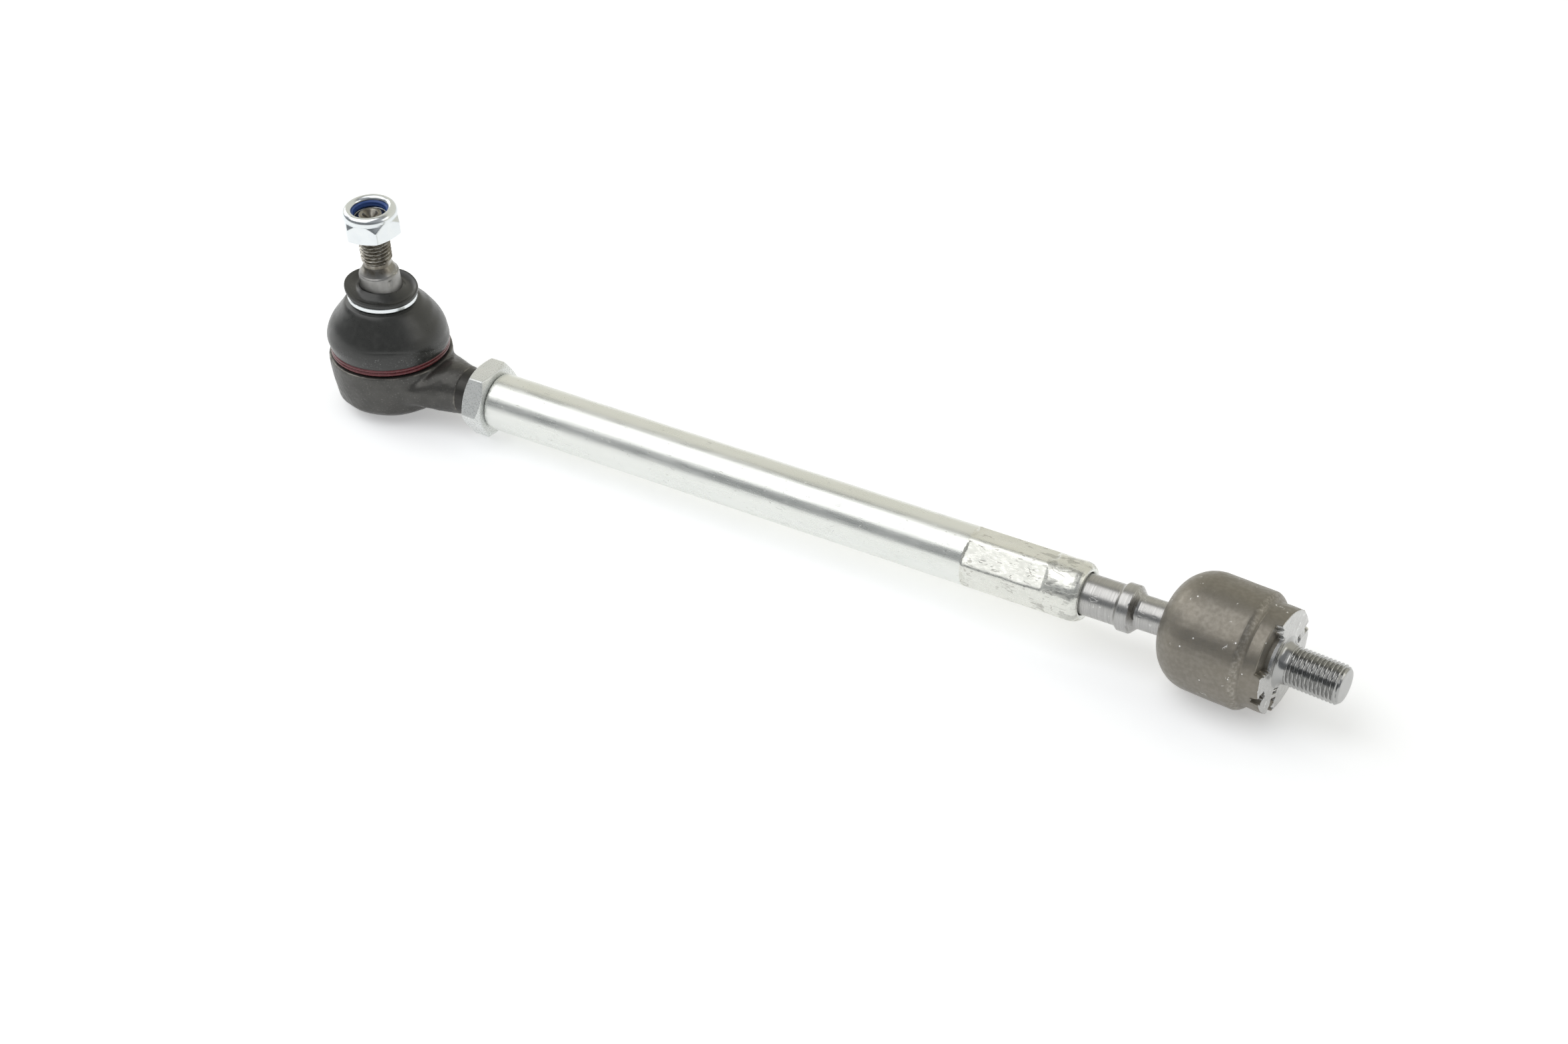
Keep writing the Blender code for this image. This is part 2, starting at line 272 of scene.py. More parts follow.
def turned(name, outline, place, materials, columns=192, shape=None, slots=None, bend=None):
    """Turns a closed outline of (r, z) about local +Z.

    shape moves (r, z) by azimuth, bend moves the finished points, and slots gives a material
    number for each (r, z, azimuth).
    """
    outline = np.array(outline, float)
    rows = len(outline)
    azimuth = np.arange(columns) * TURN / columns
    a = np.tile(azimuth, (rows, 1))
    r = np.repeat(outline[:, :1], columns, axis=1)
    z = np.repeat(outline[:, 1:], columns, axis=1)
    if shape is not None:
        r, z = shape(r, z, a)
    r = np.where(outline[:, :1] < ON_AXIS, 0.0, r)
    points = np.stack([r * np.cos(a), r * np.sin(a), z], axis=-1).reshape(-1, 3)
    if bend is not None:
        points = bend(points)
    faces = []
    face_slots = []
    for i in range(rows):
        low, high = i * columns, (i + 1) % rows * columns
        low_pole = outline[i, 0] < ON_AXIS
        high_pole = outline[(i + 1) % rows, 0] < ON_AXIS
        if low_pole and high_pole:
            continue
        for j in range(columns):
            k = (j + 1) % columns
            face = (low + j, low + k, high + k, high + j)
            if low_pole:
                face = (low, high + k, high + j)
            elif high_pole:
                face = (low + j, low + k, high)
            faces.append(face)
            if slots is not None:
                face_slots.append(slots(r[i, j], z[i, j], azimuth[j]))
    return new_object(name, points, faces, place, materials, face_slots if slots else None)


def swept_ring(name, radius, height_at, wire, turns, place, materials, start):
    """A wire of round section wound about local +Z from the azimuth start, with rounded ends."""
    along, across = int(200 * turns), 14
    angle = np.linspace(0, TURN * turns, along + 1)
    end = np.minimum(angle, angle[-1] - angle) * radius
    thick = wire / 2 * np.sqrt(np.clip(1 - (1 - np.minimum(end / (wire / 2), 1)) ** 2, 1e-4, 1))
    section = np.arange(across) * TURN / across
    r = radius + np.outer(thick, np.cos(section))
    z = height_at(angle)[:, None] + np.outer(thick, np.sin(section))
    a = np.repeat(angle[:, None] + math.radians(start), across, axis=1)
    points = np.stack([r * np.cos(a), r * np.sin(a), z], axis=-1).reshape(-1, 3)
    faces = [(i * across + j, i * across + (j + 1) % across,
              (i + 1) * across + (j + 1) % across, (i + 1) * across + j)
             for i in range(along) for j in range(across)]
    faces += [tuple(range(across)), tuple(along * across + j for j in reversed(range(across)))]
    return new_object(name, points, faces, place, materials)


def ride_as(piece, body, node):
    """The piece stands for this CAD node and moves with its body."""
    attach(piece, body)
    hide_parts(node)


# ---------------------------------------------------------------- materials

class Finish:
    """A Principled material whose patterns are measured in millimetres of its object."""

    def __init__(self, name, metallic, **constants):
        self.material = bpy.data.materials.new(name)
        self.material.use_nodes = True
        self.tree = self.material.node_tree
        self.shader = self.tree.nodes["Principled BSDF"]
        self.shader.inputs["Metallic"].default_value = metallic
        for label, value in constants.items():
            self.shader.inputs[label.replace("_", " ")].default_value = value
        place = self.node("ShaderNodeTexCoord").outputs["Object"]
        scale = self.node("ShaderNodeVectorMath", operation="SCALE")
        self.tree.links.new(place, scale.inputs[0])
        scale.inputs["Scale"].default_value = 1000.0
        self.place = scale.outputs[0]
        self.normal = None

    def node(self, kind, **settings):
        made = self.tree.nodes.new(kind)
        for key, value in settings.items():
            setattr(made, key, value)
        return made

    def feed(self, socket, value):
        if isinstance(value, bpy.types.NodeSocket):
            self.tree.links.new(value, socket)
        else:
            socket.default_value = value

    def stretched(self, stretch, shift=0.0):
        mapping = self.node("ShaderNodeMapping")
        self.feed(mapping.inputs["Vector"], self.place)
        mapping.inputs["Scale"].default_value = stretch
        mapping.inputs["Location"].default_value = (shift, shift * 0.7, shift * 1.3)
        return mapping.outputs[0]

    def noise(self, size, detail=3.0, stretch=(1, 1, 1), shift=0.0, warp=0.0):
        """Noise with features of about size millimetres."""
        made = self.node("ShaderNodeTexNoise")
        self.feed(made.inputs["Vector"], self.stretched(stretch, shift))
        made.inputs["Scale"].default_value = 1 / size
        made.inputs["Detail"].default_value = detail
        made.inputs["Distortion"].default_value = warp
        return made.outputs["Fac"]

    def cells(self, size, shift=0.0):
        """Distance to scattered points about size millimetres apart, as a share of size."""
        made = self.node("ShaderNodeTexVoronoi")
        self.feed(made.inputs["Vector"], self.stretched((1, 1, 1), shift))
        made.inputs["Scale"].default_value = 1 / size
        return made.outputs["Distance"]

    def maths(self, operation, a, b=0.0):
        made = self.node("ShaderNodeMath", operation=operation)
        self.feed(made.inputs[0], a)
        self.feed(made.inputs[1], b)
        return made.outputs[0]

    def times(self, a, b):
        return self.maths("MULTIPLY", a, b)

    def span(self, value, low, high, out_low=0.0, out_high=1.0):
        """value from low..high becomes out_low..out_high, clamped."""
        made = self.node("ShaderNodeMapRange", interpolation_type="SMOOTHSTEP")
        self.feed(made.inputs["Value"], value)
        labels = ("From Min", "From Max", "To Min", "To Max")
        for label, number in zip(labels, (low, high, out_low, out_high)):
            made.inputs[label].default_value = number
        return made.outputs["Result"]

    def axis(self, index):
        made = self.node("ShaderNodeSeparateXYZ")
        self.feed(made.inputs[0], self.place)
        return made.outputs[index]

    def edges(self, low=0.52, high=0.6):
        """1 on convex edges, 0 on flat stretches."""
        return self.span(self.node("ShaderNodeNewGeometry").outputs["Pointiness"], low, high)

    def mix(self, share, a, b):
        """a where share is 0 and b where it is 1."""
        made = self.node("ShaderNodeMix", data_type="RGBA")
        self.feed(made.inputs["Factor"], share)
        for socket, value in ((made.inputs[6], a), (made.inputs[7], b)):
            self.feed(socket, (*value, 1.0) if isinstance(value, tuple) else value)
        return made.outputs[2]

    def colour(self, value):
        self.feed(self.shader.inputs["Base Color"], value)

    def roughness(self, value):
        self.feed(self.shader.inputs["Roughness"], value)

    def rough(self, pattern, low, high):
        """Roughness that goes from low to high as the noise called pattern goes up."""
        self.roughness(self.span(pattern, 0.3, 0.7, low, high))

    def bump(self, height, depth):
        """Adds relief: height 0..1 stands for depth millimetres."""
        made = self.node("ShaderNodeBump")
        made.inputs["Distance"].default_value = depth * MM
        self.feed(made.inputs["Height"], height)
        if self.normal is not None:
            self.feed(made.inputs["Normal"], self.normal)
        self.normal = made.outputs[0]
        self.feed(self.shader.inputs["Normal"], self.normal)
        return self


def scratches(finish, size, width, share, stretch, shift):
    """Thin broken lines: the zero crossings of a stretched noise where a second noise is high."""
    line = finish.noise(size, 2.0, stretch, shift, warp=0.4)
    away = finish.maths("ABSOLUTE", finish.maths("SUBTRACT", line, 0.5))
    near = finish.span(away, 0.0, width, 1.0, 0.0)
    patch = finish.noise(size * 1.7, 2.0, shift=shift + 31)
    where = finish.span(patch, 1 - share, 1 - share + 0.04)
    return finish.times(near, where)


def tube_zinc():
    """Drawn tube with lengthwise grain, soft clouds, dark spots and scratches."""
    f = Finish("zinc_tube", 0.82)
    drawn = f.noise(0.55, 4.0, (1, 1, 0.05))
    cloud = f.noise(7.0, 3.0, (1, 1, 0.35), 5)
    spots = f.span(f.noise(0.9, 3.0, (1, 1, 0.6), 17), 0.685, 0.74)
    marks = scratches(f, 3.2, 0.012, 0.42, (1, 1, 0.8), 40)
    base = f.mix(cloud, (0.74, 0.755, 0.715), (0.87, 0.88, 0.85))
    base = f.mix(f.times(spots, 0.55), base, (0.40, 0.39, 0.34))
    f.colour(f.mix(f.times(marks, 0.5), base, (0.42, 0.43, 0.42)))
    dull = f.span(cloud, 0.35, 0.7, 0.0, 0.1)
    f.roughness(f.maths("ADD", f.span(drawn, 0.3, 0.7, 0.22, 0.30), dull))
    f.bump(drawn, 0.010).bump(f.noise(0.35, 3.0, shift=9), 0.006)
    f.bump(spots, -0.03).bump(marks, -0.02)
    return f.material


def pressed_zinc():
    """Rough creamy zinc on the wrench flats and the end collar, scraped in places."""
    f = Finish("zinc_pressed", 0.82)
    grain = f.noise(0.5, 5.0, (1, 1, 0.35))
    cloud = f.noise(4.0, 3.0, (1, 1, 0.5), 3)
    scrape = scratches(f, 2.2, 0.03, 0.44, (1, 1, 0.25), 12)
    near_end = f.span(f.axis(2), WRENCH_X[1] - 11.0, WRENCH_X[1] - 1.0, 0.0, 0.16)
    worn = f.span(f.maths("ADD", f.noise(2.4, 5.0, (1, 1, 0.5), 27), near_end), 0.69, 0.73)
    base = f.mix(cloud, (0.69, 0.695, 0.64), (0.84, 0.84, 0.79))
    base = f.mix(f.times(worn, 0.6), base, (0.43, 0.43, 0.40))
    f.colour(f.mix(f.times(scrape, 0.6), base, (0.36, 0.34, 0.31)))
    f.rough(grain, 0.22, 0.38)
    f.bump(grain, 0.012).bump(f.noise(1.7, 3.0, (1, 1, 0.6), 21), 0.010)
    f.bump(scrape, -0.03).bump(worn, -0.02)
    return f.material


def bright_zinc():
    """Smooth bright plating of the small parts, with a few dark pits."""
    f = Finish("zinc_bright", 1.0)
    cloud = f.noise(2.6, 3.0)
    pits = f.span(f.noise(0.35, 2.0, shift=7), 0.7, 0.76)
    base = f.mix(cloud, (0.70, 0.735, 0.76), (0.82, 0.845, 0.85))
    f.colour(f.mix(f.times(pits, 0.35), base, (0.5, 0.52, 0.55)))
    f.rough(cloud, 0.14, 0.24)
    f.bump(f.noise(0.6, 3.0), 0.010).bump(pits, -0.012)
    return f.material


def lock_zinc():
    """Zinc over a cut hexagon: fine grain, small bright specks, convex edges painted lighter as wear and
    as painted highlight.
    """
    f = Finish("zinc_lock_nut", 0.55)
    grain = f.noise(0.4, 5.0, (1, 1, 0.5))
    cloud = f.noise(3.5, 3.0, shift=6)
    specks = f.span(f.noise(0.4, 2.0, shift=13), 0.69, 0.75)
    base = f.mix(cloud, (0.66, 0.68, 0.665), (0.80, 0.81, 0.79))
    base = f.mix(f.times(specks, 0.7), base, (0.92, 0.93, 0.92))
    # Convex edges painted lighter: partly wear, partly painted highlight.
    f.colour(f.mix(f.edges(), base, (0.85, 0.86, 0.85)))
    f.rough(grain, 0.24, 0.38)
    f.bump(grain, 0.006).bump(specks, 0.012)
    return f.material


def stud_steel():
    """Machined steel of the stud: satin shank, oily darker thread, painted shade on the shank next to the
    boot's lip and painted highlights on convex edges and thread crests.
    """
    f = Finish("steel_stud", 1.0)
    rings = f.noise(0.22, 3.0, (0.02, 0.02, 1))
    stain = f.noise(2.2, 4.0, (1, 1, 0.7), 4)
    threaded = f.span(f.axis(2), 35.0, 37.0)
    shank = f.mix(stain, (0.26, 0.255, 0.245), (0.36, 0.355, 0.345))
    oily = f.mix(f.span(stain, 0.35, 0.65), (0.16, 0.145, 0.12), (0.30, 0.285, 0.255))
    # Painted shade: the shank is darkened towards the boot's lip, fully below 27 mm and fading out by 31.5
    # mm.
    low = f.span(f.axis(2), 27.0, 31.5, 0.45, 0.0)
    shank = f.mix(low, shank, (0.10, 0.10, 0.095))
    # Painted highlight: convex edges and thread crests are painted lighter.
    f.colour(f.mix(f.edges(0.53, 0.62), f.mix(threaded, shank, oily), (0.50, 0.48, 0.44)))
    dull = f.span(stain, 0.3, 0.7, 0.12, 0.0)
    f.roughness(f.maths("ADD", dull, f.span(f.axis(2), 35.0, 37.0, 0.34, 0.22)))
    f.bump(rings, 0.006).bump(f.noise(0.6, 3.0), 0.006)
    return f.material


def turned_steel():
    """Brushed inner rod with fine turning rings and a few handling marks."""
    f = Finish("steel_turned", 1.0)
    rings = f.noise(0.16, 4.0, (0.015, 0.015, 1))
    cloud = f.noise(3.0, 3.0, (1, 1, 0.8), 8)
    marks = scratches(f, 2.0, 0.02, 0.42, (1, 1, 0.6), 3)
    base = f.mix(cloud, (0.40, 0.395, 0.385), (0.54, 0.535, 0.52))
    base = f.mix(f.span(rings, 0.35, 0.65), base, (0.40, 0.395, 0.385))
    f.colour(f.mix(f.times(marks, 0.6), base, (0.82, 0.82, 0.80)))
    f.rough(rings, 0.26, 0.36)
    f.bump(rings, 0.006).bump(marks, -0.02)
    return f.material


def bright_thread():
    """Rolled thread and fillet at the end of the inner housing."""
    f = Finish("steel_thread", 1.0)
    cloud = f.noise(2.5, 3.0, shift=15)
    f.colour(f.mix(cloud, (0.34, 0.34, 0.335), (0.46, 0.46, 0.45)))
    f.rough(cloud, 0.16, 0.22)
    f.bump(f.noise(0.9, 2.0), 0.004)
    return f.material


def machined_face():
    """Cut end face of the inner housing, with a painted highlight on its edges and burrs."""
    f = Finish("steel_machined", 1.0)
    cut = f.noise(0.3, 4.0, (1, 1, 0.2), 2, warp=1.5)
    cloud = f.noise(2.5, 3.0, shift=15)
    base = f.mix(cloud, (0.44, 0.435, 0.425), (0.62, 0.62, 0.61))
    # Painted highlight: convex edges and burrs are painted near white.
    f.colour(f.mix(f.edges(0.53, 0.62), base, (0.80, 0.80, 0.79)))
    f.rough(cut, 0.2, 0.34)
    f.bump(cut, 0.012).bump(f.noise(1.2, 3.0), 0.02)
    return f.material


def forged_black():
    """Dark forged and oiled housing: scale texture, convex edges painted lighter as wear and as painted
    highlight.
    """
    f = Finish("forged_black", 0.55, Specular_IOR_Level=0.6)
    scale = f.noise(0.55, 6.0)
    cloud = f.noise(5.0, 4.0, shift=11)
    base = f.mix(cloud, (0.056, 0.055, 0.051), (0.098, 0.095, 0.088))
    base = f.mix(f.span(scale, 0.58, 0.74), base, (0.15, 0.145, 0.135))
    # Lighter convex edges, broken up by the cloud: partly wear, partly painted highlight.
    worn_and_highlit = f.times(f.edges(0.515, 0.56), f.span(cloud, 0.38, 0.6))
    f.colour(f.mix(worn_and_highlit, base, (0.34, 0.32, 0.28)))
    f.rough(cloud, 0.44, 0.32)
    f.bump(scale, 0.03).bump(f.noise(1.8, 3.0, shift=8), 0.07)
    return f.material


def dark_stub():
    """Smooth turned neck between the forging and the lock nut."""
    f = Finish("forged_turned_stub", 0.7)
    rings = f.noise(0.3, 3.0, (0.02, 0.02, 1))
    cloud = f.noise(4.0, 3.0, shift=23)
    f.colour(f.mix(cloud, (0.040, 0.039, 0.036), (0.066, 0.064, 0.060)))
    f.rough(rings, 0.36, 0.46)
    f.bump(rings, 0.012)
    return f.material


def forged_brown():
    """Satin brown-grey skin of the inner housing with mottling, bright nicks and a broken painted
    highlight round the step.
    """
    f = Finish("forged_brown", 0.78)
    mottle = f.noise(1.3, 5.0)
    broad = f.noise(14.0, 3.0, shift=19)
    grain = f.noise(0.35, 4.0, shift=5)
    nicks = scratches(f, 2.6, 0.022, 0.34, (1, 0.6, 1), 6)
    dots = f.span(f.cells(4.3, 3), 0.045, 0.07, 1.0, 0.0)
    height = f.axis(2)
    # Painted highlight: a lighter band round the step fillet, 7.6 to 10.5 mm up, broken up by noise like
    # rubbing wear.
    shoulder = f.times(f.span(height, 7.6, 8.8), f.span(height, 9.6, 10.5, 1.0, 0.0))
    worn_and_highlit = f.times(shoulder, f.span(f.noise(0.9, 5.0, shift=9), 0.38, 0.75))
    base = f.mix(broad, (0.195, 0.184, 0.160), (0.262, 0.236, 0.194))
    base = f.mix(f.span(mottle, 0.35, 0.7, 0.0, 0.3), base, (0.30, 0.282, 0.25))
    base = f.mix(f.times(worn_and_highlit, 0.5), base, (0.52, 0.49, 0.44))
    bright = f.maths("MAXIMUM", nicks, dots)
    f.colour(f.mix(bright, base, (0.85, 0.84, 0.82)))
    f.rough(mottle, 0.46, 0.36)
    f.bump(grain, 0.012).bump(mottle, 0.015).bump(bright, -0.03)
    return f.material


def rubber():
    """Moulded boot rubber with a faint bloom and specks of dust round its neck."""
    f = Finish("boot_rubber", 0.0, Specular_IOR_Level=0.55, Coat_Weight=0.05, Coat_Roughness=0.5)
    cloud = f.noise(8.0, 4.0)
    bloom = f.noise(2.0, 5.0, shift=14)
    height = f.axis(2)
    dusty = f.times(f.span(height, 22.0, 23.5), f.span(height, 25.0, 28.0, 1.0, 0.0))
    specks = f.times(f.span(f.noise(0.45, 3.0, shift=2), 0.63, 0.7), dusty)
    base = f.mix(cloud, (0.021, 0.0215, 0.020), (0.036, 0.0365, 0.034))
    base = f.mix(f.span(bloom, 0.5, 0.8, 0.0, 0.5), base, (0.045, 0.046, 0.042))
    f.colour(f.mix(f.times(specks, 0.55), base, (0.42, 0.43, 0.42)))
    f.rough(bloom, 0.27, 0.36)
    f.bump(f.noise(0.3, 4.0), 0.012).bump(cloud, 0.05)
    return f.material


def red_wire():
    """Dark red coated wire of the ring round the boot's foot."""
    f = Finish("red_wire", 0.0, Coat_Weight=0.3, Coat_Roughness=0.25)
    cloud = f.noise(1.6, 3.0, (1, 1, 0.5))
    f.colour(f.mix(cloud, (0.085, 0.012, 0.016), (0.17, 0.03, 0.036)))
    f.rough(cloud, 0.2, 0.32)
    f.bump(cloud, 0.02)
    return f.material


def blue_nylon():
    """Nylon of the nut's insert."""
    f = Finish("blue_nylon", 0.0, Subsurface_Weight=0.05)
    cloud = f.noise(1.2, 3.0)
    f.colour(f.mix(cloud, (0.022, 0.060, 0.22), (0.040, 0.100, 0.32)))
    f.rough(cloud, 0.32, 0.45)
    f.bump(f.noise(0.4, 3.0), 0.02)
    return f.material


def bearing_plastic():
    """Pale plastic of the hidden shells and pads."""
    f = Finish("bearing_plastic", 0.0)
    cloud = f.noise(2.0, 3.0)
    f.colour(f.mix(cloud, (0.72, 0.70, 0.64), (0.85, 0.84, 0.79)))
    f.rough(cloud, 0.38, 0.5)
    f.bump(f.noise(0.5, 3.0), 0.01)
    return f.material


def spring_steel():
    """Steel of the hidden spring and washer."""
    f = Finish("spring_steel", 1.0)
    cloud = f.noise(1.5, 3.0)
    f.colour(f.mix(cloud, (0.20, 0.21, 0.23), (0.36, 0.36, 0.36)))
    f.rough(cloud, 0.28, 0.4)
    f.bump(f.noise(0.3, 3.0), 0.01)
    return f.material


# ---------------------------------------------------------------- outer joint

def vectors(items, key):
    """The items' vectors, one to a row."""
    values = np.empty(len(items) * 3)
    items.foreach_get(key, values)
    return values.reshape(-1, 3)


def relax(mesh, weight_of, rounds):
    """Moves each vertex towards the mean of its neighbours by its weight, several times."""
    count = len(mesh.vertices)
    co = vectors(mesh.vertices, "co")
    ends = np.empty(len(mesh.edges) * 2, int)
    mesh.edges.foreach_get("vertices", ends)
    a, b = ends.reshape(-1, 2).T
    degree = np.bincount(np.concatenate([a, b]), minlength=count)
    weight = weight_of(*(co.T / MM))[:, None]
    for _ in range(rounds):
        total = np.stack([np.bincount(a, co[b, k], count) + np.bincount(b, co[a, k], count)
                          for k in range(3)], axis=1)
        co += weight * (total / degree[:, None] - co)
    mesh.vertices.foreach_set("co", co.ravel())


def displace(mesh, amount):
    """Moves vertices along their normals by amount(x, y, z) millimetres."""
    co, normal = vectors(mesh.vertices, "co"), vectors(mesh.vertex_normals, "vector")
    co += normal * amount(*(co.T / MM))[:, None] * MM
    mesh.vertices.foreach_set("co", co.ravel())
    mesh.update()


def merged(name, pieces, voxel):
    """One closed skin round overlapping solids."""
    for piece in pieces[1:]:
        piece.data.transform(pieces[0].matrix_world.inverted() @ piece.matrix_world)
    bm = bmesh.new()
    for piece in pieces:
        bm.from_mesh(piece.data)
    whole = bpy.data.meshes.new(name)
    bm.to_mesh(whole)
    bm.free()
    result = linked(name, whole, pieces[0].matrix_world)
    for piece in pieces:
        bpy.data.objects.remove(piece, do_unlink=True)
    modifier = result.modifiers.new("skin", "REMESH")
    modifier.mode = "VOXEL"
    modifier.voxel_size = voxel * MM
    bpy.context.view_layer.update()
    depsgraph = bpy.context.evaluated_depsgraph_get()
    skin = bpy.data.meshes.new_from_object(result.evaluated_get(depsgraph))
    result.modifiers.clear()
    result.data = skin
    return result


def join(first, second):
    """second's mesh, materials included, becomes part of first."""
    move = first.matrix_world.inverted() @ second.matrix_world
    second.data.transform(move)
    offset = len(first.data.materials)
    for material in second.data.materials:
        first.data.materials.append(material)
    bm = bmesh.new()
    bm.from_mesh(first.data)
    before = len(bm.faces)
    bm.from_mesh(second.data)
    bm.faces.ensure_lookup_table()
    for face in bm.faces[before:]:
        face.material_index += offset
    bm.to_mesh(first.data)
    bm.free()
    bpy.data.objects.remove(second, do_unlink=True)


def outer_housing(skin, stub):
    """Forged socket and neck as one skin, with the turned stub and its thread."""
    bore = 12.1
    lip = 10.3
    body = [(10.5, 0), (11.7, 0), (13.4, 1.2), (17.2, 3.7), (18.2, 5.0), (19.1, 9.6), (19.8, 14.4)]
    body += [(RIM_R, 17.8), (RIM_R, RIM_Z - 0.2), (RIM_R - 0.3, RIM_Z), (16.7, RIM_Z), (16.7, 22.5)]
    body += [(16.1, 23.0), (lip, 23.0), (lip, RIM_Z), (bore, RIM_Z), (bore, 0.9), (10.5, 0.9)]
    socket = turned("socket", fine(rounded(body, 0.5), 1.2), HOUSING, [], 160)

    def flatten(points):
        """Squeezes the neck's height near the socket, where its section is a rounded slab."""
        share = smooth((points[:, 2] - 15.5) / 12.5)
        keep = 0.42 + 0.58 * share
        corner = 1 + 0.13 * (1 - share) * np.sin(2 * np.arctan2(points[:, 1], points[:, 0])) ** 2
        return np.stack([points[:, 0] * keep * corner, points[:, 1] * corner, points[:, 2]], axis=1)

    side = curve([(15.4, 8.0), (14.7, 11.0), (13.7, 14.5), (12.5, 17.6), (11.1, 20.8), (9.7, 23.6),
                  (8.6, 26.4), (8.05, 28.8)])
    neck = fine([(0, 8.0)] + side + [(8.0, ARM_END - 0.3), (7.6, ARM_END), (0, ARM_END)], 1.0)
    arm = turned("arm", neck, ROD, [], 120, bend=flatten)
    housing = merged("outer_housing_forging", [socket, arm], 0.36)

    def near_neck(x, y, z):
        """A little smoothing everywhere and more where the neck leaves the socket."""
        at_root = np.exp(-((x - 18.0) / 4.2) ** 2) * (np.abs(y) < 19)
        return 0.30 + 0.5 * at_root * smooth((z - 1.0) / 3) * smooth((RIM_Z - 0.4 - z) / 1.5)

    def at_neck_only(x, y, z):
        """Strong smoothing of the fillet between the neck and the socket, and nowhere else."""
        radial = np.hypot(x, y)
        at_root = smooth((x - 10) / 5) * smooth((27 - x) / 5) * smooth((radial - 17.2) / 1.5)
        return 0.55 * at_root * smooth((z - 2.0) / 3) * smooth((RIM_Z - 0.8 - z) / 1.5)

    relax(housing.data, near_neck, 3)
    relax(housing.data, at_neck_only, 25)
    housing.data.update()

    def forging(x, y, z):
        """Lumps of the forged skin, on the outside only."""
        outside = smooth((np.hypot(x, y) - 14) / 3)
        return outside * (0.07 * lumps(x, y, z, 5.0, 3) + 0.03 * lumps(x, y, z, 1.9, 4))

    displace(housing.data, forging)
    housing.data.shade_smooth()
    housing.data.materials.append(skin)

    root = ROD_THREAD_R - GROOVE_DEPTH * ROD_PITCH
    shank = [(0, 29.6), (STUB_R - 0.25, 29.6), (STUB_R - 0.1, 30.0), (STUB_R - 0.1, STUB_END - 0.3)]
    shank += [(STUB_R - 0.3, STUB_END), (root, STUB_END), (root, STUB_END + 0.8)]
    shank += [(ROD_THREAD_R, STUB_END + 1.6), (ROD_THREAD_R, THREAD_END - 1.5)]
    shank += [(ROD_THREAD_R - 1.2, THREAD_END), (0, THREAD_END)]
    shank = fine(rounded(shank, 0.15), 1.0, [(STUB_END + 1, THREAD_END, 0.17)])
    screw = thread(STUB_END + 1, THREAD_END + 1, ROD_THREAD_R, ROD_PITCH)
    end = turned("shank", shank, ROD, [stub], 96, screw)
    join(housing, end)
    housing.name = "outer_housing_forging"
    ride_as(housing, "housing", "outer_housing")


def closing_plate(zinc):
    """Pressed plate under the ball with a shallow dished middle."""
    plate = [(0, 0.35), (5.0, 0.35), (6.2, 0.0), (10.2, 0.0), (10.2, 0.85), (11.7, 0.85)]
    plate += [(11.7, 2.1), (0, 2.1)]
    piece = turned("closing_plate_pressed", fine(rounded(plate, 0.3), 0.8), HOUSING, [zinc], 128)
    ride_as(piece, "housing", "closing_plate")


def ball_stud(steel):
    """Ball, neck, shank with its shoulder, undercut and M10 x 1.25 thread."""
    neck_r = 5.4
    neck = math.degrees(math.acos(neck_r / BALL_R))
    stud = arc((0, 0), BALL_R, -90, neck, 20)
    stud += [(neck_r, 12.0), (SHANK_R, 20.0), (SHANK_R, 28.0), (6.5, 34.2), (6.38, 34.9), (5.9, 35.35)]
    stud += [(4.8, 37.4), (4.45, 37.9), (4.35, 38.4), (4.35, 39.2)]
    stud += [(STUD_THREAD_R, 39.9), (STUD_THREAD_R, STUD_TOP - 1.1)]
    stud += [(3.6, STUD_TOP), (2.5, STUD_TOP), (0.5, STUD_TOP - 2.3), (0, STUD_TOP - 2.35)]
    stud = fine(rounded(stud, 0.14, 3), 0.8, [(39.0, STUD_TOP, 0.11), (28, 38, 0.25)])
    screw = thread(39.0, STUD_TOP + 1, STUD_THREAD_R, STUD_PITCH)

    def shape(r, z, a):
        """The thread, a nick in the shank and a bruised patch where the thread starts."""
        r, z = screw(r, z, a)
        nick = np.exp(-((z - 33.0) / 1.0) ** 4 - (wave(a, -21) * r - r) ** 2 / 0.0006)
        bruise = np.exp(-((z - 40.5) / 1.6) ** 2) * smooth((wave(a, -14) - 0.86) / 0.1)
        chatter = 0.22 * lumps(r * np.cos(a), r * np.sin(a), z, 1.1, 8)
        limit = STUD_THREAD_R + BRUISE_LIMIT
        raised = np.minimum(r + bruise * (0.10 + 0.5 * chatter), limit)
        return np.where(r < STUD_THREAD_R, raised, r) - 0.25 * nick * (z < 36), z

    piece = turned("ball_stud_turned", stud, STUD, [steel], 144, shape)
    ride_as(piece, "stud", "ball_stud")


def neck_tilt(z, a):
    """Height by which the boot's wavy neck and its ring stand above their level place."""
    return smooth((z - 19.0) / 5.0) * (0.75 * wave(a, FRONT) - 0.8 * wave(a, RIGHT))


def lip_droop(r, z, a):
    """Unevenness of the boot's lip round the stud."""
    where = smooth((z - 26.6) / 1.2) * smooth((r - 7.4) / 3.0)
    wavy = -0.85 * wave(a, RIGHT) - 0.75 * wave(a, FRONT) + 0.35 * wave(a, RIGHT, 2)
    return where * (wavy + 0.12 * wave(a, 70, 3) + 0.10 * wave(a, 10, 5))


def lean(points):
    """Leans the boot with the stud, and pushes its bell a little to the camera's left."""
    share = smooth((points[:, 2] - 9.0) / 13.0)
    angle = math.radians(STUD_LEAN) * share
    y = points[:, 1] * np.cos(angle) - points[:, 2] * np.sin(angle)
    z = points[:, 1] * np.sin(angle) + points[:, 2] * np.cos(angle)
    push = 0.6 * smooth((points[:, 2] - 7.5) / 4) * smooth((23 - points[:, 2]) / 6)
    aside = np.radians(RIGHT + 180)
    return np.stack([points[:, 0] + push * np.cos(aside), y + push * np.sin(aside), z], axis=1)


